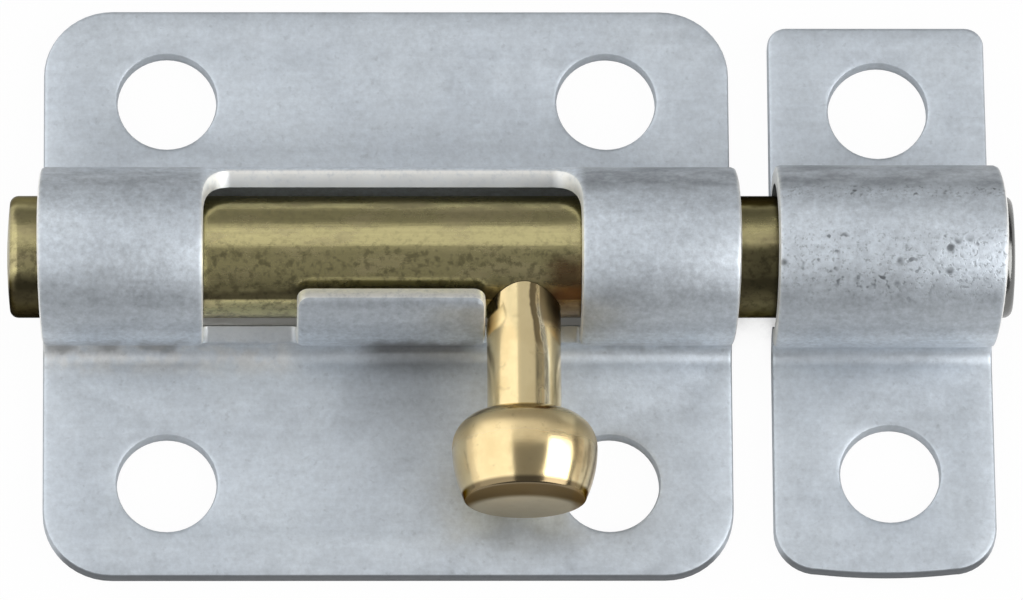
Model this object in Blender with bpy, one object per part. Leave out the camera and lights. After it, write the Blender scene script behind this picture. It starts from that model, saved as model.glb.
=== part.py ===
"""Barrel bolt with its keeper: two pressed sheets, a round rod and a turned knob.

Metres, +Z up. The backs of the case and the keeper lie on z = 0 and the rod runs along X, with its
middle over the origin. Each sheet piece is made as it is in the works: a flat blank with rounded
corners is pierced, its face edges roll over where the punch went in, and it is folded over a bar.
"""

import math

import bmesh
import bpy
from mathutils import Matrix, Vector

MM = 0.001

# Sheet of both pressed pieces, and how the blank is folded
SHEET = 0.95 * MM
EDGE_ROLL = 0.26 * MM  # rounding that the punch leaves on the face side of every cut
EDGE_ROLL_STEPS = 2
AXIS_HEIGHT = 4.6 * MM  # of the barrels, over the backs of the flanges
AXIS_Y = 0.72 * MM  # of the barrels and the rod, from the middle of the plate
WRAP = math.radians(120)  # how far the barrel wraps round the rod on each side of its crest
ARC_STEP = math.radians(5)
BEND_STEP = math.radians(10)

# Rod
ROD_DIAMETER = 6.35 * MM
ROD_LENGTH = 52.5 * MM
ROD_DROP = 0.1 * MM  # the rod lies this far under the axis of the barrels
ROD_EDGE = 0.45 * MM
ROD_DOME = 0.14 * MM
ROD_TAIL = 1.84 * MM  # proud of the case's flanges at the left
ROD_SIDES = 96

# Case
CASE_LENGTH = 36.0 * MM
CASE_WIDTH = 31.1 * MM
CASE_CORNER = 3.6 * MM
CASE_BORE = 7.4 * MM  # inside of the barrel
CASE_BOW = 0.27 * MM  # how far the barrel's ends stand past the flanges at its crest
CASE_HOLE_FROM_END = 6.46 * MM
CASE_HOLE_FROM_SIDE = 5.05 * MM
HOLE_DIAMETER = 5.2 * MM

# Window over the rod. Its near side stands up between two notches as a tab
WINDOW_LENGTH = 19.64 * MM
WINDOW_SHIFT = 0.17 * MM  # of its middle, right of the case's middle
WINDOW_FAR_EDGE = math.radians(58)  # from the crest
WINDOW_CORNER_X = 1.5 * MM
WINDOW_CORNER_ROUND = 2.7 * MM
LEFT_NOTCH = 4.87 * MM
RIGHT_NOTCH = 5.0 * MM
NOTCH_FLOOR = math.radians(118)
NOTCH_CORNER = 0.3 * MM
TAB_EDGE = math.radians(45)
TAB_CORNER = 0.62 * MM

# Keeper
KEEPER_GAP = 2.08 * MM  # between the flanges of case and keeper
KEEPER_LENGTH_FAR = 11.4 * MM
KEEPER_LENGTH_NEAR = 11.62 * MM
KEEPER_REACH_FAR = 14.64 * MM  # from the middle of the plate to the end of each flange
KEEPER_REACH_NEAR = 15.43 * MM
KEEPER_CORNER_FAR = 1.0 * MM
KEEPER_CORNER_NEAR = 2.3 * MM
KEEPER_END_BOW = 0.2 * MM  # of the near flange's end
KEEPER_BORE = 7.6 * MM
KEEPER_BARREL_START = 0.13 * MM  # the barrel's ends, from the ends of the flanges
KEEPER_BARREL_PAST = 0.52 * MM
KEEPER_HOLE_X_FAR = 5.75 * MM
KEEPER_HOLE_X_NEAR = 6.1 * MM
KEEPER_HOLE_FROM_FAR_END = 4.64 * MM
KEEPER_HOLE_FROM_NEAR_END = 5.43 * MM

# Knob, along its own axis from the axis of the rod
STEM_DIAMETER = 3.86 * MM
KNOB_RAISE = 0.5 * MM  # its axis passes over the rod's axis by this much
KNOB_SEAT_GAP = 0.05 * MM
KNOB_SIDE_GAP = 0.1 * MM  # from the stem to the end of the tab
HEAD_DIAMETER = 7.56 * MM
HEAD_START = 8.8 * MM
HEAD_WIDEST = 10.6 * MM
HEAD_END = 13.45 * MM
HEAD_TAPER = 5.0 * MM  # half length of the ellipse that the head's side follows to its end
HEAD_EDGE = 0.2 * MM
KNOB_SIDES = 64

# Places that follow from the sizes above
ROD_Z = AXIS_HEIGHT - ROD_DROP
CASE_LEFT = ROD_TAIL - ROD_LENGTH / 2
CASE_X = CASE_LEFT + CASE_LENGTH / 2
WINDOW_LEFT = CASE_X + WINDOW_SHIFT - WINDOW_LENGTH / 2
WINDOW_RIGHT = WINDOW_LEFT + WINDOW_LENGTH
TAB_LEFT = WINDOW_LEFT + LEFT_NOTCH
TAB_RIGHT = WINDOW_RIGHT - RIGHT_NOTCH
KEEPER_LEFT = CASE_LEFT + CASE_LENGTH + KEEPER_GAP
KNOB_X = TAB_RIGHT + KNOB_SIDE_GAP + STEM_DIAMETER / 2

ZINC = (0.50, 0.55, 0.60)
BRASS = (0.78, 0.62, 0.30)
DULL_BRASS = (0.40, 0.33, 0.17)


def clear_scene():
    for obj in list(bpy.data.objects):
        bpy.data.objects.remove(obj, do_unlink=True)


def metal(name, colour, roughness):
    made = bpy.data.materials.new(name)
    made.use_nodes = True
    shader = made.node_tree.nodes["Principled BSDF"]
    shader.inputs["Base Color"].default_value = (*colour, 1)
    shader.inputs["Metallic"].default_value = 1
    shader.inputs["Roughness"].default_value = roughness
    made.diffuse_color = (*colour, 1)
    return made


def add_object(name, mesh_data, material):
    """Turns a bmesh into a smooth-shaded object, and frees the bmesh."""
    bmesh.ops.recalc_face_normals(mesh_data, faces=mesh_data.faces)
    mesh = bpy.data.meshes.new(name)
    mesh_data.to_mesh(mesh)
    mesh_data.free()
    mesh.shade_smooth()
    mesh.set_sharp_from_angle(angle=math.radians(35))
    if material:
        mesh.materials.append(material)
    obj = bpy.data.objects.new(name, mesh)
    bpy.context.scene.collection.objects.link(obj)
    return obj


def arc(centre, radius_x, radius_y, start, end, steps):
    """Points of an elliptical arc, with angles in degrees from +X."""
    angles = [math.radians(start + (end - start) * i / steps) for i in range(steps + 1)]
    return [(centre[0] + radius_x * math.cos(a), centre[1] + radius_y * math.sin(a)) for a in angles]


def circle(centre, radius, sides):
    return arc(centre, radius, radius, 0, 360 * (sides - 1) / sides, sides - 1)


class Fold:
    """The section of a barrel: flange, reverse bend, main arc over the rod, and the same again.

    A place on the flat blank is (x, run, depth): run is measured along the middle of the sheet from
    the barrel's crest, positive to the far side (+Y), and depth goes from the face into the sheet.
    """

    def __init__(self, bore):
        self.arc_radius = bore / 2 + SHEET / 2
        self.arc_run = self.arc_radius * WRAP
        drop = AXIS_HEIGHT - SHEET / 2 + self.arc_radius * math.cos(WRAP)
        self.bend_radius = drop / (1 - math.cos(WRAP))
        self.flange_run = (self.arc_radius + self.bend_radius) * WRAP
        self.flange_y = (self.arc_radius + self.bend_radius) * math.sin(WRAP)

    def run_at_angle(self, angle):
        return self.arc_radius * angle

    def run_at_y(self, y):
        """The run of a place on a flange, from its Y on the finished piece."""
        across = abs(y - AXIS_Y) - self.flange_y
        return math.copysign(self.flange_run + across, y - AXIS_Y)

    def stations(self):
        """The runs at which the blank gets an edge across it, so that it can bend there."""
        arc_steps = round(WRAP / ARC_STEP)
        bend_steps = round(WRAP / BEND_STEP)
        side = [self.arc_run * i / arc_steps for i in range(1, arc_steps + 1)]
        bend = self.flange_run - self.arc_run
        side += [self.arc_run + bend * i / bend_steps for i in range(1, bend_steps + 1)]
        return [-run for run in reversed(side)] + [0] + side

    def place(self, x, run, depth):
        length = abs(run)
        if length <= self.arc_run:
            angle = length / self.arc_radius
            radius = self.arc_radius + SHEET / 2 - depth
            y = radius * math.sin(angle)
            z = AXIS_HEIGHT + radius * math.cos(angle)
        elif length <= self.flange_run:
            angle = WRAP - (length - self.arc_run) / self.bend_radius
            radius = self.bend_radius - SHEET / 2 + depth
            y = self.flange_y - radius * math.sin(angle)
            z = SHEET / 2 + self.bend_radius - radius * math.cos(angle)
        else:
            y = self.flange_y + length - self.flange_run
            z = SHEET - depth
        return Vector((x, AXIS_Y + math.copysign(y, run), z))


def prism(name, outline, top, bottom):
    """A flat-sided solid over an outline of (x, y) points."""
    solid = bmesh.new()
    face = solid.faces.new([solid.verts.new((x, y, bottom)) for x, y in outline])
    raised = bmesh.ops.extrude_face_region(solid, geom=[face])["geom"]
    lift = Vector((0, 0, top - bottom))
    bmesh.ops.translate(solid, verts=[v for v in raised if isinstance(v, bmesh.types.BMVert)], vec=lift)
    return add_object(name, solid, None)


def pierced_blank(outline, openings):
    """The flat blank as a bmesh: face side at z = 0, back at z = -SHEET, with each opening cut out."""
    blank = prism("blank", outline, 0, -SHEET)
    punches = [prism(f"punch_{i}", opening, SHEET, -2 * SHEET) for i, opening in enumerate(openings)]
    for punch in punches:
        cut = blank.modifiers.new(punch.name, "BOOLEAN")
        cut.operation = "DIFFERENCE"
        cut.object = punch
    cut_blank = bmesh.new()
    cut_blank.from_object(blank, bpy.context.evaluated_depsgraph_get())
    for obj in [blank, *punches]:
        bpy.data.objects.remove(obj, do_unlink=True)
    return cut_blank


def roll_face_edges(blank):
    """Rounds the edges between the face side and every cut, outside and in the openings."""

    def is_face(face):
        return all(abs(v.co.z) < EDGE_ROLL / 100 for v in face.verts)

    rim = [e for e in blank.edges if len(e.link_faces) == 2 and sum(map(is_face, e.link_faces)) == 1]
    bmesh.ops.bevel(
        blank,
        geom=rim,
        offset=EDGE_ROLL,
        offset_type="OFFSET",
        segments=EDGE_ROLL_STEPS,
        profile=0.5,
        affect="EDGES",
        clamp_overlap=False,
    )


def pressed_sheet(name, outline, openings, fold, material):
    blank = pierced_blank(outline, openings)
    roll_face_edges(blank)
    for run in fold.stations():
        bmesh.ops.bisect_plane(
            blank,
            geom=blank.verts[:] + blank.edges[:] + blank.faces[:],
            dist=SHEET / 10000,
            plane_co=(0, run, 0),
            plane_no=(0, 1, 0),
        )
    bmesh.ops.triangulate(blank, faces=blank.faces)
    for vert in blank.verts:
        vert.co = fold.place(vert.co.x, vert.co.y, -vert.co.z)
    return add_object(name, blank, material)


def barrel_end(x_at_flange, bow, fold, upward):
    """The end of the blank across the barrel, which bows out by bow at the crest."""
    steps = 24
    runs = [fold.arc_run * (2 * i / steps - 1) for i in range(steps + 1)]
    if not upward:
        runs.reverse()
    return [(x_at_flange + bow * (1 + math.cos(math.pi * run / fold.arc_run)) / 2, run) for run in runs]


def case_outline(fold):
    left, right = CASE_LEFT, CASE_LEFT + CASE_LENGTH
    near, far = fold.run_at_y(-CASE_WIDTH / 2), fold.run_at_y(CASE_WIDTH / 2)
    r = CASE_CORNER
    outline = arc((right - r, near + r), r, r, -90, 0, 12)
    outline += barrel_end(right, CASE_BOW, fold, upward=True)
    outline += arc((right - r, far - r), r, r, 0, 90, 12)
    outline += arc((left + r, far - r), r, r, 90, 180, 12)
    outline += barrel_end(left, -CASE_BOW, fold, upward=False)
    outline += arc((left + r, near + r), r, r, 180, 270, 12)
    return outline


def window_outline(fold):
    """Far edge, the two notches on the near side, and the tab that stands between them."""
    far = fold.run_at_angle(WINDOW_FAR_EDGE)
    tab = -fold.run_at_angle(TAB_EDGE)
    floor = -fold.run_at_angle(NOTCH_FLOOR)
    rx, ry = WINDOW_CORNER_X, WINDOW_CORNER_ROUND
    n, t = NOTCH_CORNER, TAB_CORNER
    outline = arc((WINDOW_RIGHT - rx, far - ry), rx, ry, 0, 90, 10)
    outline += arc((WINDOW_LEFT + rx, far - ry), rx, ry, 90, 180, 10)
    outline += arc((WINDOW_LEFT + n, floor + n), n, n, 180, 270, 4)
    outline += arc((TAB_LEFT - n, floor + n), n, n, 270, 360, 4)
    outline += arc((TAB_LEFT + t, tab - t), t, t, 180, 90, 6)
    outline += arc((TAB_RIGHT - t, tab - t), t, t, 90, 0, 6)
    outline += arc((TAB_RIGHT + n, floor + n), n, n, 180, 270, 4)
    outline += arc((WINDOW_RIGHT - n, floor + n), n, n, 270, 360, 4)
    return outline


def make_case(material):
    fold = Fold(CASE_BORE)
    openings = [window_outline(fold)]
    from_middle = CASE_LENGTH / 2 - CASE_HOLE_FROM_END
    for side_x in (-1, 1):
        for side_y in (-1, 1):
            run = fold.run_at_y(side_y * (CASE_WIDTH / 2 - CASE_HOLE_FROM_SIDE))
            openings.append(circle((CASE_X + side_x * from_middle, run), HOLE_DIAMETER / 2, 48))
    return pressed_sheet("case", case_outline(fold), openings, fold, material)


def keeper_outline(fold):
    left = KEEPER_LEFT
    right_near, right_far = left + KEEPER_LENGTH_NEAR, left + KEEPER_LENGTH_FAR
    near, far = fold.run_at_y(-KEEPER_REACH_NEAR), fold.run_at_y(KEEPER_REACH_FAR)
    barrel_right = (right_near + right_far) / 2
    rn, rf = KEEPER_CORNER_NEAR, KEEPER_CORNER_FAR
    corner_y = near + rn + KEEPER_END_BOW
    half = KEEPER_LENGTH_NEAR / 2 - rn
    bowed_end = [
        (left + rn + half * (1 + i / 6), near + KEEPER_END_BOW * (i / 6) ** 2) for i in range(-5, 6)
    ]
    outline = bowed_end
    outline += arc((right_near - rn, corner_y), rn, rn, -90, 0, 10)
    outline += barrel_end(barrel_right, KEEPER_BARREL_PAST, fold, upward=True)
    outline += arc((right_far - rf, far - rf), rf, rf, 0, 90, 8)
    outline += arc((left + rf, far - rf), rf, rf, 90, 180, 8)
    outline += barrel_end(left, KEEPER_BARREL_START, fold, upward=False)
    outline += arc((left + rn, corner_y), rn, rn, 180, 270, 10)
    return outline


def make_keeper(material):
    fold = Fold(KEEPER_BORE)
    holes = [
        (KEEPER_LEFT + KEEPER_HOLE_X_FAR, fold.run_at_y(KEEPER_REACH_FAR - KEEPER_HOLE_FROM_FAR_END)),
        (KEEPER_LEFT + KEEPER_HOLE_X_NEAR, fold.run_at_y(KEEPER_HOLE_FROM_NEAR_END - KEEPER_REACH_NEAR)),
    ]
    openings = [circle(centre, HOLE_DIAMETER / 2, 48) for centre in holes]
    return pressed_sheet("keeper", keeper_outline(fold), openings, fold, material)


def turned(name, profile, sides, material):
    """Spins (along, radius) points round the X axis. The profile starts and ends on that axis."""
    solid = bmesh.new()
    verts = [solid.verts.new((along, radius, 0)) for along, radius in profile]
    edges = [solid.edges.new(pair) for pair in zip(verts, verts[1:])]
    bmesh.ops.spin(
        solid, geom=verts + edges, cent=(0, 0, 0), axis=(1, 0, 0), angle=math.tau, steps=sides
    )
    bmesh.ops.remove_doubles(solid, verts=solid.verts, dist=SHEET / 1000)
    return add_object(name, solid, material)


def make_rod(material):
    radius = ROD_DIAMETER / 2
    shoulder = ROD_LENGTH / 2 - ROD_DOME - ROD_EDGE
    edge = arc((shoulder, radius - ROD_EDGE), ROD_EDGE, ROD_EDGE, 90, 0, 5)
    flat = radius - ROD_EDGE
    dome = [(ROD_LENGTH / 2 - ROD_DOME * (i / 4) ** 2, flat * i / 4) for i in range(3, 0, -1)]
    right = edge + dome + [(ROD_LENGTH / 2, 0)]
    left = [(-along, across) for along, across in reversed(right)]
    rod = turned("rod", left + right, ROD_SIDES, material)
    rod.location = (0, AXIS_Y, ROD_Z)
    return rod


def knob_profile():
    stem, head = STEM_DIAMETER / 2, HEAD_DIAMETER / 2
    shoulder = arc((HEAD_WIDEST, stem), HEAD_WIDEST - HEAD_START, head - stem, 180, 90, 12)
    last = HEAD_END - HEAD_EDGE
    side = []
    for i in range(1, 8):
        along = HEAD_WIDEST + (last - HEAD_WIDEST) * i / 7
        side.append((along, head * math.sqrt(1 - ((along - HEAD_WIDEST) / HEAD_TAPER) ** 2)))
    edge = arc((last, side[-1][1] - HEAD_EDGE), HEAD_EDGE, HEAD_EDGE, 75, 0, 3)
    return [(0, 0), (0, stem)] + shoulder + side + edge + [(HEAD_END, 0)]


def make_knob(material):
    """Modelled with its stem along X, then laid along -Y. Its origin is on the axis it turns about."""
    knob = turned("knob", knob_profile(), KNOB_SIDES, material)
    knob.data.transform(Matrix.Translation((0, 0, KNOB_RAISE)) @ Matrix.Rotation(-math.pi / 2, 4, "Z"))
    knob.location = (KNOB_X, AXIS_Y, ROD_Z)

    seat_radius = ROD_DIAMETER / 2 + KNOB_SEAT_GAP
    half = STEM_DIAMETER
    seat = turned("seat_cutter", [(-half, 0), (-half, seat_radius), (half, seat_radius), (half, 0)],
                  ROD_SIDES, None)
    seat.location = knob.location
    seat.hide_render = True
    seat.display_type = "WIRE"
    saddle = knob.modifiers.new("saddle", "BOOLEAN")
    saddle.operation = "DIFFERENCE"
    saddle.object = seat
    return knob


def main():
    clear_scene()
    zinc = metal("zinc_plate", ZINC, 0.45)
    make_case(zinc)
    make_keeper(zinc)
    make_rod(metal("dull_brass", DULL_BRASS, 0.3))
    make_knob(metal("polished_brass", BRASS, 0.12))


main()
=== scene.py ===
"""Looks of the barrel bolt: zinc-plated sheets, a dull brass rod and a polished brass knob.

Metres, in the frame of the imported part. Each CAD node is shown by a welded, smooth-shaded copy of
its own mesh, with a procedural material. The rod runs along X, the knob points to -Y, and the
backs of the sheets lie on z = 0.
"""

import math

import bmesh
import bpy
from mathutils import Matrix, Vector


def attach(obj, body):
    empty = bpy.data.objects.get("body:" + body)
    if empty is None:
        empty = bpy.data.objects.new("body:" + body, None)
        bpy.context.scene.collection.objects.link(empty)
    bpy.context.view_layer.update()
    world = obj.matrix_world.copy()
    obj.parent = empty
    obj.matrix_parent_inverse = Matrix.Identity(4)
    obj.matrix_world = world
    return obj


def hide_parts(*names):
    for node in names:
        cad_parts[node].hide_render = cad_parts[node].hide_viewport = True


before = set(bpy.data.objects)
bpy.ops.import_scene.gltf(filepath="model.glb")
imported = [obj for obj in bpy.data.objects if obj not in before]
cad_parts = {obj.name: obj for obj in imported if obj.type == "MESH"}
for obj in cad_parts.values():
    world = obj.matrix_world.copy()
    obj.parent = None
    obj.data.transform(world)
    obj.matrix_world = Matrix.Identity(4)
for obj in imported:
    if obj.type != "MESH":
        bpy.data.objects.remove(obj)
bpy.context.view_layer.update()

# Camera: over the plate, leaning to the knob's side, and a little to the left
PIXELS_PER_MM = 19.08
MM_PER_METRE = 1000
IMAGE_WIDTH = 1023
CAMERA_DISTANCE = 0.7
LEAN = math.radians(18)
LEAN_LEFT = math.radians(1.4)
AIM = Vector((0.00011, -0.000176, 0))
SENSOR = 36
CLIP_START = 0.01

# The softboxes stand on a sphere round the bolt. Angles from straight up, in degrees: towards +X,
# towards +Y, then how wide and how tall each one looks from the bolt. Last, its radiance.
BOX_DISTANCE = 0.6
SOFTBOXES = [
    ("left_box", (-56, 0), (70, 92), 1.18),
    ("right_box", (57, -16), (44, 48), 3.9),
    ("back_box", (6, 26), (54, 41), 0.58),
]

# The room's light: a direction, how closely to look along it for the light to start and to be
# full (as a cosine), and how light it is outside and inside
ROOM_LIGHTS = [
    ((0, -0.35, 0.94), 0.45, 1.0, 0.13, 0.22),
    ((0, 0.97, 0.24), 0.5, 0.95, 0.0, 0.08),
]

FLOOR_HALF = 1.5
FLOOR_Z = -0.00005
FLOOR_GREY = (0.82, 0.82, 0.82, 1)
FLOOR_ROUGHNESS = 0.9
SHADOW_REACH = 0.02
SHADOW_SAMPLES = 16
# How open the sky over the floor is where its glow starts and where it is full, and how much glow
# is left below that: as the camera sees it, and as the part mirrors it
SEEN_GLOW = (0.055, 0.15, 0.07)
MIRRORED_GLOW = (0.3, 1.0, 0.12)
GLOW_SHARE = 0.97

# The shown meshes
WELD_DISTANCE = 1e-6
SHARP_EDGE = math.radians(35)

# Places on the part that its finishes and its painted light and shade follow
ROD_Y = 0.00072
BARREL_Z = 0.0046
WINDOW_X = -0.00624
TAB_SHADOW_X = -0.0047
KNOB_SHADOW_X = -0.0061
PITS_LOW_Y = -0.0009
PITS_FAR_Y = 0.0029
KNOB_X = 0.00061
END_FACE_LIGHT_Z = 0.0026

# Spans along Y or Z that finishes share: where one starts, and where it is full
ABOVE_FOLD_FOOT = (0.0022, 0.0030)
NEAR_FOLD = (-0.0026, -0.0030)
NEAR_FLANGE_EDGE = (-0.0138, -0.0148)
STEM = (-0.0086, -0.0080)
HEAD = (-0.0087, -0.0092)

# Colours
WHITE = (1, 1, 1, 1)
ZINC_BLUE = (0.600, 0.652, 0.709, 1)
ZINC_PALE = (0.630, 0.681, 0.733, 1)
ZINC_STAIN_AND_LIGHT = (0.78, 0.76, 0.72, 1)
ZINC_GRIME_AND_SHADE = (0.11, 0.10, 0.09, 1)
CUT_FACE_PAINTED_SHADE = (0.62, 0.64, 0.65, 1)
CUT_FACE_BRIGHT = (0.90, 0.90, 0.87, 1)
ROD_BRASS = (0.65, 0.58, 0.29, 1)
ROD_STAIN = (0.53, 0.46, 0.25, 1)
ROD_TARNISH_AND_SHADE = (0.030, 0.024, 0.014, 1)
ROD_TARNISH_AND_SHADE_TINT = (0.10, 0.09, 0.075, 1)
ROD_WORN_END = (0.17, 0.17, 0.165, 1)
ROD_BROWN = (0.16, 0.075, 0.035, 1)
KNOB_BRASS = (0.84, 0.67, 0.37, 1)
KNOB_HAZE = (0.76, 0.59, 0.31, 1)
KNOB_FLECK = (0.45, 0.33, 0.16, 1)
KNOB_TAN_REFLECTION = (0.55, 0.47, 0.27, 1)
KNOB_GLINT = (0.98, 0.90, 0.66, 1)
KNOB_DARK_REFLECTION = (0.10, 0.073, 0.036, 1)
KNOB_END_FACE = (0.50, 0.47, 0.39, 1)
KNOB_RIM_REFLECTION = (0.13, 0.095, 0.055, 1)
KNOB_RIM_REFLECTION_TINT = (0.25, 0.2, 0.15, 1)
KNOB_BROWN_REFLECTION = (0.24, 0.165, 0.08, 1)

# How much lighter or darker each mark, painted light and shade among them, makes the zinc where it
# is full
SMUDGE_TONE = -0.08
SPECK_TONE = -0.10
NEAR_SIDE_SHADE_TONE = -0.28
KNOB_SHADOW_TONE = -0.17
PIT_TONE = -0.72
LIT_RIM_TONE = 0.12

# How much each pattern adds to the height of the bump
MOTTLE_HEIGHT = 0.6
GRAIN_HEIGHT = 0.8
PIT_HEIGHT = -1.5
ROD_SPECK_HEIGHT = -0.15

# How strongly each mark, painted light and shade among them, covers the colour below it
ENDS_GRIME_AND_SHADE_COVER = 0.42
SHADE_COVER = 0.50
ROD_TARNISH_AND_SHADE_COVER = 0.93
ROD_BROWN_COVER = 0.8
FLECK_COVER = 0.35
TAN_REFLECTION_COVER = 0.55
GLINT_COVER = 0.8
END_FACE_COVER = 0.6
RIM_REFLECTION_COVER = 0.85

# Shininess: how much of the surface is metal, how rough it is, and how much rougher a mark is
ZINC_METALLIC = 0.7
ZINC_ROUGHNESS = 0.45
ZINC_MOTTLE_ROUGHNESS = 0.10
ROD_ROUGHNESS = 0.22
ROD_STAIN_ROUGHNESS = 0.12
ROD_TARNISH_AND_SHADE_ROUGHNESS = 0.15
KNOB_ROUGHNESS = 0.165
KNOB_HAZE_ROUGHNESS = 0.07
KNOB_DULL_ROUGHNESS = 0.22

# How deep each surface's bump is at most
ZINC_BUMP = 0.00001
ROD_BUMP = 0.000006
KNOB_BUMP = 0.0000015


def place_looking_back(item, back, right, position):
    """Turns an object so that it looks against the direction back, and moves it to the position."""
    place = Matrix((right, back.cross(right), back)).transposed().to_4x4()
    place.translation = position
    item.matrix_world = place


def add(name, data):
    """A new object with this data, in the scene."""
    item = bpy.data.objects.new(name, data)
    bpy.context.scene.collection.objects.link(item)
    return item


def make_camera():
    back = Vector((-math.sin(LEAN_LEFT), -math.sin(LEAN), math.cos(LEAN))).normalized()
    right = (Vector((1, 0, 0)) - back * back.x).normalized()
    camera = add("camera", bpy.data.cameras.new("camera"))
    place_looking_back(camera, back, right, AIM + back * CAMERA_DISTANCE)
    camera.data.sensor_width = SENSOR
    image_width = IMAGE_WIDTH / (PIXELS_PER_MM * MM_PER_METRE)
    camera.data.lens = SENSOR * CAMERA_DISTANCE / image_width
    camera.data.clip_start = CLIP_START
    bpy.context.scene.camera = camera


def make_softbox(name, angles, spans, radiance):
    toward_x, toward_y = (math.radians(a) for a in angles)
    direction = Vector((math.sin(toward_x), math.sin(toward_y), math.cos(toward_x))).normalized()
    width, height = (2 * BOX_DISTANCE * math.tan(math.radians(s) / 2) for s in spans)
    lamp = bpy.data.lights.new(name, "AREA")
    lamp.shape = "RECTANGLE"
    lamp.size, lamp.size_y = width, height
    lamp.energy = math.pi * width * height * radiance
    across = Vector((0, 1, 0)).cross(direction).normalized()
    place_looking_back(add(name, lamp), direction, across, direction * BOX_DISTANCE)


class Nodes:
    """Short calls for the nodes of one tree. Each input takes a socket or a plain value."""

    def __init__(self, tree):
        self.tree = tree

    def put(self, socket, value):
        if isinstance(value, bpy.types.NodeSocket):
            self.tree.links.new(value, socket)
        elif value is not None:
            socket.default_value = value

    def math(self, operation, a, b=None, c=None):
        node = self.tree.nodes.new("ShaderNodeMath")
        node.operation = operation
        for socket, value in zip(node.inputs, (a, b, c)):
            self.put(socket, value)
        return node.outputs[0]

    def times(self, first, *others):
        """All of these multiplied together."""
        for other in others:
            first = self.math("MULTIPLY", first, other)
        return first

    def most(self, first, *others):
        """The largest of these."""
        for other in others:
            first = self.math("MAXIMUM", first, other)
        return first

    def away(self, value, place):
        """How far the value is from a place, to either side."""
        return self.math("ABSOLUTE", self.math("SUBTRACT", value, place))

    def scale_by(self, mask, share):
        """1, and more or less by this share where the mask is 1."""
        return self.math("MULTIPLY_ADD", mask, share, 1.0)

    def ramp(self, value, start, full, low=0.0, high=1.0, smooth=True):
        """Runs from low, where the value is at start, to high, where it is at full."""
        node = self.tree.nodes.new("ShaderNodeMapRange")
        node.interpolation_type = "SMOOTHSTEP" if smooth else "LINEAR"
        for socket, given in zip(node.inputs, (value, start, full, low, high)):
            self.put(socket, given)
        return node.outputs[0]

    def split(self, vector):
        """The X, Y and Z of a vector."""
        node = self.tree.nodes.new("ShaderNodeSeparateXYZ")
        self.put(node.inputs[0], vector)
        return tuple(node.outputs)

    def dot(self, a, b):
        node = self.tree.nodes.new("ShaderNodeVectorMath")
        node.operation = "DOT_PRODUCT"
        self.put(node.inputs[0], a)
        self.put(node.inputs[1], b)
        return node.outputs["Value"]

    def mix(self, factor, a, b, blend="MIX"):
        node = self.tree.nodes.new("ShaderNodeMix")
        node.data_type = "RGBA"
        node.blend_type = blend
        self.put(node.inputs["Factor"], factor)
        self.put(node.inputs[6], a)
        self.put(node.inputs[7], b)
        return node.outputs[2]

    def grey(self, value):
        node = self.tree.nodes.new("ShaderNodeCombineColor")
        for socket in node.inputs:
            self.put(socket, value)
        return node.outputs[0]


class Surface(Nodes):
    """The nodes of one material on the part. Its patterns lie on the part in object coordinates."""

    def __init__(self, name):
        self.material = bpy.data.materials.new(name)
        self.material.use_nodes = True
        super().__init__(self.material.node_tree)
        self.shader = self.tree.nodes["Principled BSDF"]
        self.object = self.tree.nodes.new("ShaderNodeTexCoord").outputs["Object"]
        self.x, self.y, self.z = self.split(self.object)

    def scaled(self, scale, shift):
        node = self.tree.nodes.new("ShaderNodeMapping")
        self.put(node.inputs["Vector"], self.object)
        self.put(node.inputs["Scale"], scale)
        self.put(node.inputs["Location"], shift)
        return node.outputs[0]

    def noise(self, scale, detail=3.0, roughness=0.55, shift=(0, 0, 0)):
        """Noise with this many cells a metre, or one number of them for each axis."""
        scale = (scale, scale, scale) if isinstance(scale, (int, float)) else scale
        node = self.tree.nodes.new("ShaderNodeTexNoise")
        self.put(node.inputs["Vector"], self.scaled(scale, shift))
        self.put(node.inputs["Scale"], 1.0)
        self.put(node.inputs["Detail"], detail)
        self.put(node.inputs["Roughness"], roughness)
        return node.outputs["Fac"]

    def ragged(self, noise, width):
        """The noise as a shift to both sides, over this width."""
        return self.times(self.math("SUBTRACT", noise, 0.5), width)

    def cells(self, scale, shift):
        """The distance to the middle of the nearest cell, with this many cells a metre."""
        node = self.tree.nodes.new("ShaderNodeTexVoronoi")
        self.put(node.inputs["Vector"], self.scaled((scale, scale, scale), shift))
        self.put(node.inputs["Scale"], 1.0)
        return node.outputs["Distance"]

    def finish(self, colour, roughness, height, bump, metallic):
        """Puts the colour, the roughness and a bump from the height on the surface."""
        relief = self.tree.nodes.new("ShaderNodeBump")
        self.put(relief.inputs["Height"], height)
        self.put(relief.inputs["Distance"], bump)
        self.put(relief.inputs["Strength"], 1.0)
        self.put(self.shader.inputs["Base Color"], colour)
        self.put(self.shader.inputs["Roughness"], roughness)
        self.put(self.shader.inputs["Normal"], relief.outputs[0])
        self.put(self.shader.inputs["Metallic"], metallic)
        return self.material


def zinc_tone(n, mottle, grain):
    """Lightness of the bare plate: mottled, with lines from rolling, grain, smudges and specks."""
    rolled = n.noise((240, 2600, 2600), detail=3)
    smudge = n.ramp(n.noise(480, detail=5, roughness=0.7, shift=(3.1, 1.7, 0.4)), 0.57, 0.72)
    speck = n.ramp(n.noise(2400, detail=2, roughness=0.6, shift=(9.1, 4.7, 2.4)), 0.62, 0.74)
    grain_strength = n.ramp(n.z, 0.0010, 0.0030, low=0.36, high=0.70)
    return n.times(
        n.math("MULTIPLY_ADD", mottle, 0.10, 0.94),
        n.math("MULTIPLY_ADD", rolled, 0.16, 0.92),
        n.scale_by(n.math("SUBTRACT", grain, 0.5), grain_strength),
        n.scale_by(smudge, SMUDGE_TONE),
        n.scale_by(speck, SPECK_TONE),
    )


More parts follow.
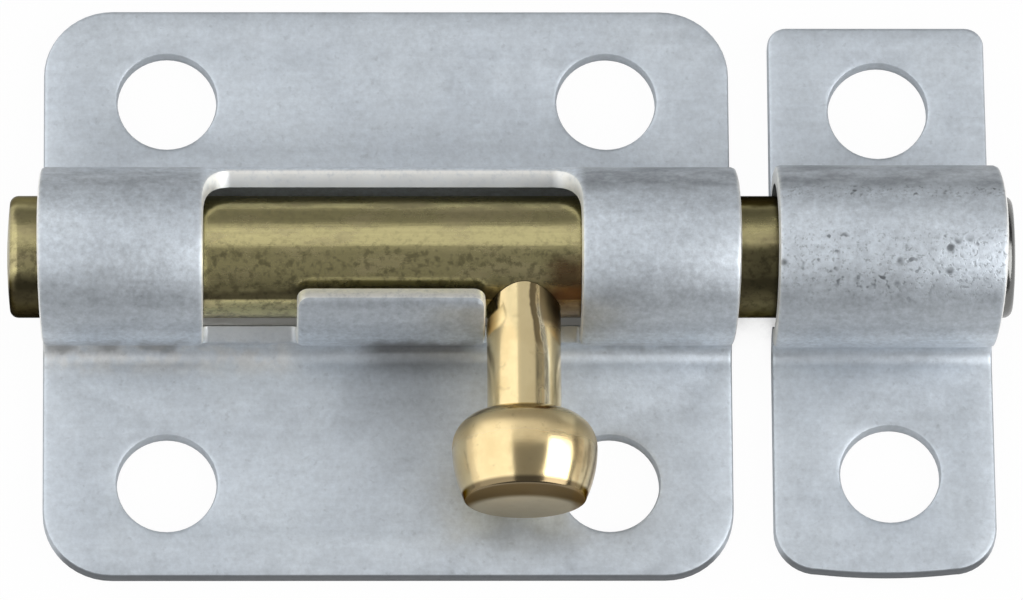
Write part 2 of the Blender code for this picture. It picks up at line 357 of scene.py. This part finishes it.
def barrel_side_grime_and_shade(n):
    """Lightness along the barrels' sides: patchy grime and painted shade on the far one, but not
    beside the window, and painted shade on the near one."""
    patches = n.noise((330, 700, 700), detail=4, roughness=0.65, shift=(5.2, 8.8, 1.9))
    patches = n.ramp(patches, 0.35, 0.65)
    more_to_the_right = n.ramp(n.x, 0.0, 0.0040, low=0.18, high=0.32)
    # Far side: painted shade, stronger to the right, with patchy grime
    far_grime_and_shade = n.times(
        n.ramp(n.y, 0.0026, 0.0037),
        n.ramp(n.z, *ABOVE_FOLD_FOOT),
        n.math("MULTIPLY_ADD", patches, 0.22, more_to_the_right),
        n.ramp(n.away(n.x, WINDOW_X), 0.0095, 0.0102),
    )
    # Near side: painted shade
    near_painted_shade = n.times(n.ramp(n.y, -0.0006, -0.0030), n.ramp(n.z, 0.0050, 0.0064))
    return n.times(n.math("SUBTRACT", 1.0, far_grime_and_shade), n.scale_by(near_painted_shade, NEAR_SIDE_SHADE_TONE))


def case_marks(n, colour, tone):
    """The case alone: grime and painted crease shade in the fold's near foot, a painted shadow
    below the tab, a pale stain with painted light at its left, and a painted knob shadow on the
    flange.
    """
    near_fold = n.ramp(n.y, *NEAR_FOLD)
    # Broken grime and painted crease shade in the fold's near foot at both ends of the case, with
    # ragged edges
    wave = n.noise((700, 90, 90), detail=3, roughness=0.6, shift=(0.7, 3.9, 8.2))
    wave = n.ragged(wave, 0.0030)
    foot = n.times(n.ramp(n.math("ADD", n.z, wave), 0.0052, 0.0038), near_fold)
    low_edge = n.ramp(n.math("ADD", n.z, n.times(wave, 0.25)), 0.00118, 0.00146)
    broken = n.noise((420, 90, 90), detail=2, roughness=0.5, shift=(4.1, 1.1, 9.9))
    broken = n.ramp(broken, 0.42, 0.56)
    left_end = n.ramp(n.x, -0.0155, -0.0168)
    right_end = n.ramp(n.x, 0.0038, 0.0042, high=0.6)
    ends = n.times(broken, n.math("ADD", left_end, right_end), low_edge, ENDS_GRIME_AND_SHADE_COVER)
    # Painted shadow below the tab: on the fold's foot, and as painted shade lower down the foot
    painted_tab_shadow = n.ramp(n.away(n.x, TAB_SHADOW_X), 0.0036, 0.0019, high=0.66)
    # Painted shadow of the tab and knob on the fold's foot
    smudge = n.times(painted_tab_shadow, n.ramp(n.z, 0.00098, 0.00130))
    grime_and_shade = n.times(foot, n.most(ends, smudge))
    foot_end = n.ramp(n.y, -0.0048, -0.0036)
    foot_low = n.ramp(n.z, 0.0020, 0.0014)
    shade = n.times(foot_end, near_fold, painted_tab_shadow, foot_low, SHADE_COVER)
    # A pale stain at the left of the fold, which also paints light there
    blotch = n.noise(650, detail=3, roughness=0.6, shift=(8.3, 2.5, 1.4))
    stain = n.times(
        n.ramp(n.x, -0.0105, -0.0122),
        n.ramp(n.y, -0.0050, -0.0038),
        n.ramp(n.z, 0.0030, 0.0020),
        near_fold,
        n.ramp(blotch, 0.40, 0.58, low=0.15, high=0.50),
    )
    # Painted shadow of the knob on the flange below the tab
    painted_knob_shadow = n.times(
        n.ramp(n.away(n.x, KNOB_SHADOW_X), 0.0040, 0.0012),
        n.ramp(n.y, -0.0082, -0.0060),
        n.ramp(n.y, -0.0036, -0.0042),
    )
    colour = n.mix(stain, colour, ZINC_STAIN_AND_LIGHT)
    colour = n.mix(n.most(grime_and_shade, shade), colour, ZINC_GRIME_AND_SHADE)
    return colour, n.times(tone, n.scale_by(painted_knob_shadow, KNOB_SHADOW_TONE))


def keeper_pits(n):
    """The keeper alone: pits and dust in two rows along its barrel."""
    low_row = n.ramp(n.away(n.y, PITS_LOW_Y), 0.0024, 0.0008)
    far_row = n.ramp(n.away(n.y, PITS_FAR_Y), 0.0006, 0.0002)
    rows = n.most(low_row, n.times(far_row, 0.9))
    on_barrel = n.ramp(n.z, 0.0026, 0.0042)
    chance = n.noise(480, detail=3, roughness=0.6, shift=(7.7, 2.2, 5.5))
    chance = n.ramp(chance, 0.44, 0.62)
    spots = n.noise(2500, detail=1, roughness=0.5, shift=(0.3, 0.9, 0.1))
    spots = n.ramp(spots, 0.60, 0.74)
    round_pits = n.ramp(n.cells(920, shift=(0.4, 0.1, 0.7)), 0.29, 0.12)
    round_pits = n.times(round_pits, n.ramp(n.y, 0.0006, -0.0002))
    dust = n.noise(4600, detail=2, roughness=0.6, shift=(6.3, 0.9, 3.1))
    dust = n.times(n.ramp(dust, 0.54, 0.70), 0.5)
    marks = n.most(n.times(n.most(spots, round_pits), chance), dust)
    return n.times(marks, rows, on_barrel)


def barrel_cuts(n, normal):
    """Bare cut faces of a barrel: the ones that don't look away from its axis."""
    outward = n.tree.nodes.new("ShaderNodeCombineXYZ")
    n.put(outward.inputs["Y"], n.math("SUBTRACT", n.y, ROD_Y))
    n.put(outward.inputs["Z"], n.math("SUBTRACT", n.z, BARREL_Z))
    unit = n.tree.nodes.new("ShaderNodeVectorMath")
    unit.operation = "NORMALIZE"
    n.put(unit.inputs[0], outward.outputs[0])
    looks_away = n.math("ABSOLUTE", n.dot(unit.outputs["Vector"], normal))
    return n.times(n.ramp(looks_away, 0.988, 0.86), n.ramp(n.z, *ABOVE_FOLD_FOOT))


def flange_edge_painted_light(n, normal):
    """Painted light and shade on the flanges' edges: the sheared faces and the far roll are painted
    dark, and the left roll is painted light."""
    normal_x, normal_y, normal_z = normal
    on_flange = n.ramp(n.z, 0.00115, 0.00100)
    sheared = n.ramp(n.math("ABSOLUTE", normal_z), 0.55, 0.25)
    sheared = n.times(sheared, n.ramp(n.y, *NEAR_FLANGE_EDGE, low=0.34, high=0.80))
    rolled_away = n.times(n.ramp(normal_y, 0.15, 0.50), 0.26)
    # Painted shade on the sheared faces and the far roll
    dull = n.times(on_flange, n.most(sheared, rolled_away))
    # Painted light on the left roll
    lit_rim = n.times(on_flange, n.ramp(normal_x, -0.12, -0.45))
    return n.times(n.math("SUBTRACT", 1.0, dull), n.scale_by(lit_rim, LIT_RIM_TONE))


def zinc_material(name, pitted):
    """Zinc plate: a fine grain, faint clouds, grime and painted shade beside the barrels, painted
    light and shade on the flanges' edges, and bright cut faces with painted shade on those facing
    the knob's side.
    """
    n = Surface(name)
    normal = n.tree.nodes.new("ShaderNodeNewGeometry").outputs["Normal"]
    normal_parts = n.split(normal)
    cloud = n.ramp(n.noise(210, detail=5, roughness=0.6), 0.3, 0.7)
    mottle = n.ramp(n.noise(900, detail=4, roughness=0.7), 0.3, 0.7)
    grain = n.noise(3300, detail=3, roughness=0.65)
    height = n.math("ADD", n.times(mottle, MOTTLE_HEIGHT), n.times(grain, GRAIN_HEIGHT))
    colour = n.mix(cloud, ZINC_BLUE, ZINC_PALE)
    tone = n.times(zinc_tone(n, mottle, grain), barrel_side_grime_and_shade(n))
    if pitted:
        pits = keeper_pits(n)
        tone = n.times(tone, n.scale_by(pits, PIT_TONE))
        height = n.math("MULTIPLY_ADD", pits, PIT_HEIGHT, height)
    else:
        colour, tone = case_marks(n, colour, tone)
    tone = n.times(tone, flange_edge_painted_light(n, normal_parts))
    colour = n.mix(1.0, colour, n.grey(tone), "MULTIPLY")
    # Painted shade: cuts that face the knob's side are given a duller colour than the others
    cut_colour_lit_and_shaded = n.mix(n.ramp(normal_parts[1], -0.5, -0.25), CUT_FACE_PAINTED_SHADE, CUT_FACE_BRIGHT)
    bare = n.times(barrel_cuts(n, normal), n.ramp(grain, 0.2, 0.6, low=0.55))
    colour = n.mix(bare, colour, cut_colour_lit_and_shaded)
    roughness = n.math("MULTIPLY_ADD", mottle, ZINC_MOTTLE_ROUGHNESS, ZINC_ROUGHNESS)
    return n.finish(colour, roughness, height, ZINC_BUMP, ZINC_METALLIC)


def rod_tarnish_and_shade(n, straight, y):
    """Tarnish and painted shade: tarnish with painted shade and dark reflection on the lower side
    at the left end and on both sides in the gap before the keeper, and painted shade on the rod's
    edges in the window. The y given has ragged borders, and straight has none."""
    high = n.most(n.ramp(y, 0.0008, 0.0016, high=0.60), n.ramp(y, 0.0015, 0.0022))
    left_end = n.ramp(n.x, -0.0240, -0.0246)
    at_left_end = n.most(n.ramp(y, -0.0013, -0.0024), n.times(high, 0.70))
    gap = n.times(n.ramp(n.x, 0.0100, 0.0116), n.ramp(n.x, 0.0150, 0.0137))
    low_in_gap = n.times(
        n.ramp(y, -0.0012, -0.0022, high=0.95),
        n.ramp(straight, -0.0030, -0.0028, low=0.85),
    )
    in_gap = n.most(n.ramp(y, 0.0000, -0.0007, high=0.84), low_in_gap, high)
    # Painted shade only: the rod's low band and top edge in the window
    window = n.times(n.ramp(n.x, -0.0170, -0.0161), n.ramp(n.x, 0.0040, 0.0034))
    low_band = n.times(
        n.ramp(y, -0.0021, -0.00265), n.ramp(straight, -0.00287, -0.00277), 0.95
    )
    in_window = n.most(low_band, n.ramp(y, 0.0017, 0.0023, high=0.30))
    return n.most(
        n.times(left_end, at_left_end),
        n.times(gap, in_gap),
        n.times(n.most(left_end, gap), 0.26),
        n.times(window, in_window),
    )


def dull_brass_material():
    """The drawn rod: handled bright in the window but with painted shade at its edges there, and
    tarnished with painted shade where it stands out of the barrels.
    """
    n = Surface("dull_brass_look")
    drawn = n.noise((110, 5200, 5200), detail=3)
    stain = n.ramp(n.noise((300, 700, 700), detail=4, roughness=0.65), 0.42, 0.68)
    speck = n.ramp(n.noise(2600, detail=3, roughness=0.7), 0.46, 0.66)
    blotch = n.noise(520, detail=3, roughness=0.6, shift=(2.2, 6.1, 0.7))
    straight = n.math("SUBTRACT", n.y, ROD_Y)
    y = n.math("MULTIPLY_ADD", blotch, 0.0008, n.math("SUBTRACT", straight, 0.0004))
    tarnish_and_shade = rod_tarnish_and_shade(n, straight, y)
    # Specks are stronger on the lower side
    specks = n.times(speck, n.ramp(y, 0.0002, -0.0010, low=0.12, high=0.42))
    tone = n.times(n.math("MULTIPLY_ADD", drawn, 0.24, 0.88), n.math("SUBTRACT", 1.0, specks))
    colour = n.mix(stain, ROD_BRASS, ROD_STAIN)
    colour = n.mix(1.0, colour, n.grey(tone), "MULTIPLY")
    colour = n.mix(n.times(tarnish_and_shade, ROD_TARNISH_AND_SHADE_COVER), colour, ROD_TARNISH_AND_SHADE)
    worn_end = n.times(n.ramp(n.x, 0.0250, 0.0254), n.ramp(n.x, 0.02622, 0.02615))
    colour = n.mix(worn_end, colour, ROD_WORN_END)
    # Brown where the knob is set in
    knob_side = n.times(
        n.ramp(n.x, 0.0012, 0.0026),
        n.ramp(y, -0.0006, -0.0016),
        n.ramp(n.x, 0.0060, 0.0040),
        ROD_BROWN_COVER,
    )
    colour = n.mix(knob_side, colour, ROD_BROWN)
    # Painted shade also dims the reflections there
    n.put(n.shader.inputs["Specular Tint"], n.mix(tarnish_and_shade, WHITE, ROD_TARNISH_AND_SHADE_TINT))
    roughness = n.math("MULTIPLY_ADD", stain, ROD_STAIN_ROUGHNESS, ROD_ROUGHNESS)
    roughness = n.math("MULTIPLY_ADD", tarnish_and_shade, ROD_TARNISH_AND_SHADE_ROUGHNESS, roughness)
    height = n.math("MULTIPLY_ADD", speck, ROD_SPECK_HEIGHT, drawn)
    return n.finish(colour, roughness, height, ROD_BUMP, metallic=1.0)


def stem_painted_reflections(n, colour, on_stem):
    """Painted reflections on the stem: a tan band, a light line and a dark streak. Gives the colour
    and the streak.
    """
    middle = n.ramp(n.y, -0.0028, -0.0054, KNOB_X + 0.00048, KNOB_X + 0.00087, smooth=False)
    from_middle = n.math("SUBTRACT", n.x, middle)
    # The painted dark reflection streak, which fades down the stem and opens out to the right at
    # its top
    wander = n.noise(1100, detail=3, roughness=0.6, shift=(1.5, 3.3, 0.6))
    wander = n.ragged(wander, 0.0004)
    beside = n.math("ABSOLUTE", n.math("ADD", from_middle, wander))
    down_stem = n.ramp(n.y, -0.0045, -0.0055)
    dark_reflection_streak = n.times(
        n.ramp(beside, 0.00023, 0.00010),
        n.ramp(n.z, 0.0055, 0.0062),
        on_stem,
        n.math("MULTIPLY_ADD", down_stem, -0.55, 0.9),
    )
    top_right = n.times(n.ramp(from_middle, 0.00018, 0.00036), n.ramp(n.y, -0.0040, -0.0033))
    dark_reflection_streak = n.most(dark_reflection_streak, n.times(top_right, 0.9))
    # The painted highlight line to the right of it
    glint = n.ramp(n.away(from_middle, 0.00027), 0.00020, 0.00008)
    glint = n.times(glint, on_stem, n.ramp(n.y, -0.0023, -0.0031))
    # The painted tan reflection band to the left of it
    tan_reflection_left = n.ramp(n.y, -0.0026, -0.0046, KNOB_X - 0.00130, KNOB_X - 0.00060)
    tan_reflection = n.ramp(n.math("SUBTRACT", n.x, tan_reflection_left), 0.0, 0.0005)
    tan_reflection = n.times(tan_reflection, on_stem, n.math("LESS_THAN", n.x, middle))
    colour = n.mix(n.times(tan_reflection, TAN_REFLECTION_COVER), colour, KNOB_TAN_REFLECTION)
    colour = n.mix(n.times(glint, GLINT_COVER), colour, KNOB_GLINT)
    return n.mix(dark_reflection_streak, colour, KNOB_DARK_REFLECTION), dark_reflection_streak


def polished_brass_material():
    """The knob: polished and a little hazy, with one painted dark reflection streaked down its stem
    and other painted reflections.
    """
    n = Surface("polished_brass_look")
    haze = n.ramp(n.noise(600, detail=4), 0.4, 0.7)
    turned = n.noise((600, 9000, 600), detail=2)
    fleck = n.noise(1500, detail=3, roughness=0.6, shift=(4.4, 0.2, 8.1))
    fleck = n.ramp(fleck, 0.60, 0.72)
    on_stem = n.ramp(n.y, *STEM)
    on_head = n.ramp(n.y, *HEAD)
    colour = n.mix(haze, KNOB_BRASS, KNOB_HAZE)
    colour = n.mix(n.times(fleck, FLECK_COVER), colour, KNOB_FLECK)
    colour, dark_reflection_streak = stem_painted_reflections(n, colour, on_stem)
    # The turned end face is dull. A painted dark reflection lies on its rim, and painted shade
    # darkens it away from its lit lower middle
    end_face = n.ramp(n.y, -0.01265, -0.01272)
    colour = n.mix(n.times(end_face, END_FACE_COVER), colour, KNOB_END_FACE)
    across = n.math("SUBTRACT", n.x, KNOB_X)
    upward = n.math("SUBTRACT", n.z, END_FACE_LIGHT_Z)
    from_low = n.math("MULTIPLY_ADD", across, across, n.times(upward, upward))
    from_low = n.math("SQRT", from_low)
    rim_dark_reflection = n.times(n.ramp(n.y, -0.01225, -0.01245), n.ramp(n.y, -0.01275, -0.01269))
    rim_dark_reflection = n.most(rim_dark_reflection, n.times(end_face, n.ramp(from_low, 0.0026, 0.0037)))
    colour = n.mix(n.times(rim_dark_reflection, RIM_REFLECTION_COVER), colour, KNOB_RIM_REFLECTION)
    n.put(n.shader.inputs["Specular Tint"], n.mix(rim_dark_reflection, WHITE, KNOB_RIM_REFLECTION_TINT))
    # Painted brown reflections on the sides of the head, and on the right of the stem
    head_right_reflection = n.times(
        n.ramp(across, 0.0023, 0.0027), on_head, n.ramp(haze, 0.0, 1.0, low=0.52, high=0.74)
    )
    head_left_reflection = n.times(n.ramp(across, -0.0024, -0.0032, high=0.42), on_head)
    stem_right_reflection = n.times(n.ramp(across, 0.00125, 0.00170, high=0.40), on_stem)
    colour = n.mix(n.most(head_right_reflection, head_left_reflection, stem_right_reflection), colour, KNOB_BROWN_REFLECTION)
    # Rougher on the end face, under the painted dark streak, and on the shoulder between stem and
    # head
    shoulder = n.times(n.ramp(n.y, -0.0103, -0.0096), n.ramp(n.y, -0.0086, -0.0090))
    roughness = n.math("MULTIPLY_ADD", haze, KNOB_HAZE_ROUGHNESS, KNOB_ROUGHNESS)
    for dull in (n.most(end_face, dark_reflection_streak), shoulder):
        roughness = n.math("MULTIPLY_ADD", dull, KNOB_DULL_ROUGHNESS, roughness)
    return n.finish(colour, roughness, turned, KNOB_BUMP, metallic=1.0)


def dress(node, body, material):
    """Shows a CAD node by a copy with its triangles joined again and its normals smoothed."""
    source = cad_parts[node].data
    solid = bmesh.new()
    solid.from_mesh(source)
    bmesh.ops.remove_doubles(solid, verts=solid.verts, dist=WELD_DISTANCE)
    bmesh.ops.recalc_face_normals(solid, faces=solid.faces)
    for face in solid.faces:
        face.smooth = True
    for edge in solid.edges:
        edge.smooth = edge.calc_face_angle(0.0) < SHARP_EDGE
    mesh = bpy.data.meshes.new(f"{node}_look")
    solid.to_mesh(mesh)
    solid.free()
    mesh.materials.append(material)
    piece = add(f"{node}_look", mesh)
    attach(piece, body)
    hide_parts(node)


def make_floor():
    """Pale paper that glows white to the camera and in reflections. Close to the part the glow
    gives way to the lit paper, which keeps a faint contact shadow."""
    material = bpy.data.materials.new("floor_paper")
    material.use_nodes = True
    n = Nodes(material.node_tree)
    paper = n.tree.nodes["Principled BSDF"]
    n.put(paper.inputs["Base Color"], FLOOR_GREY)
    n.put(paper.inputs["Roughness"], FLOOR_ROUGHNESS)
    path = n.tree.nodes.new("ShaderNodeLightPath")
    occlusion = n.tree.nodes.new("ShaderNodeAmbientOcclusion")
    occlusion.samples = SHADOW_SAMPLES
    n.put(occlusion.inputs["Distance"], SHADOW_REACH)
    open_sky = occlusion.outputs["AO"]
    seen = n.most(path.outputs["Is Camera Ray"], path.outputs["Is Transmission Ray"])
    seen = n.times(seen, n.ramp(open_sky, *SEEN_GLOW))
    mirrored = n.times(path.outputs["Is Glossy Ray"], n.ramp(open_sky, *MIRRORED_GLOW))
    glow = n.tree.nodes.new("ShaderNodeEmission")
    n.put(glow.inputs["Color"], WHITE)
    n.put(glow.inputs["Strength"], 1.0)
    mixer = n.tree.nodes.new("ShaderNodeMixShader")
    n.put(mixer.inputs[0], n.times(n.most(seen, mirrored), GLOW_SHARE))
    n.put(mixer.inputs[1], paper.outputs[0])
    n.put(mixer.inputs[2], glow.outputs[0])
    n.put(n.tree.nodes["Material Output"].inputs["Surface"], mixer.outputs[0])
    half = FLOOR_HALF
    corners = [(-half, -half, 0), (half, -half, 0), (half, half, 0), (-half, half, 0)]
    mesh = bpy.data.meshes.new("floor")
    mesh.from_pydata(corners, [], [(0, 1, 2, 3)])
    mesh.materials.append(material)
    floor = add("floor", mesh)
    floor.location.z = FLOOR_Z


def make_world():
    """A dim room, a little lighter over the camera's side and low down at the back."""
    world = bpy.data.worlds.new("studio")
    bpy.context.scene.world = world
    world.use_nodes = True
    n = Nodes(world.node_tree)
    direction = n.tree.nodes.new("ShaderNodeTexCoord").outputs["Generated"]
    lights = [
        n.ramp(n.dot(direction, toward), start, full, outside, inside)
        for toward, start, full, outside, inside in ROOM_LIGHTS
    ]
    backdrop = n.tree.nodes["Background"]
    n.put(backdrop.inputs["Color"], n.grey(n.math("ADD", *lights)))
    n.put(backdrop.inputs["Strength"], 1.0)


def main():
    bpy.context.scene.view_settings.view_transform = "Standard"
    make_camera()
    make_world()
    for box in SOFTBOXES:
        make_softbox(*box)
    make_floor()
    dress("case", "plates", zinc_material("zinc_case_look", pitted=False))
    dress("keeper", "plates", zinc_material("zinc_keeper_look", pitted=True))
    dress("rod", "bolt", dull_brass_material())
    dress("knob", "handle", polished_brass_material())


main()
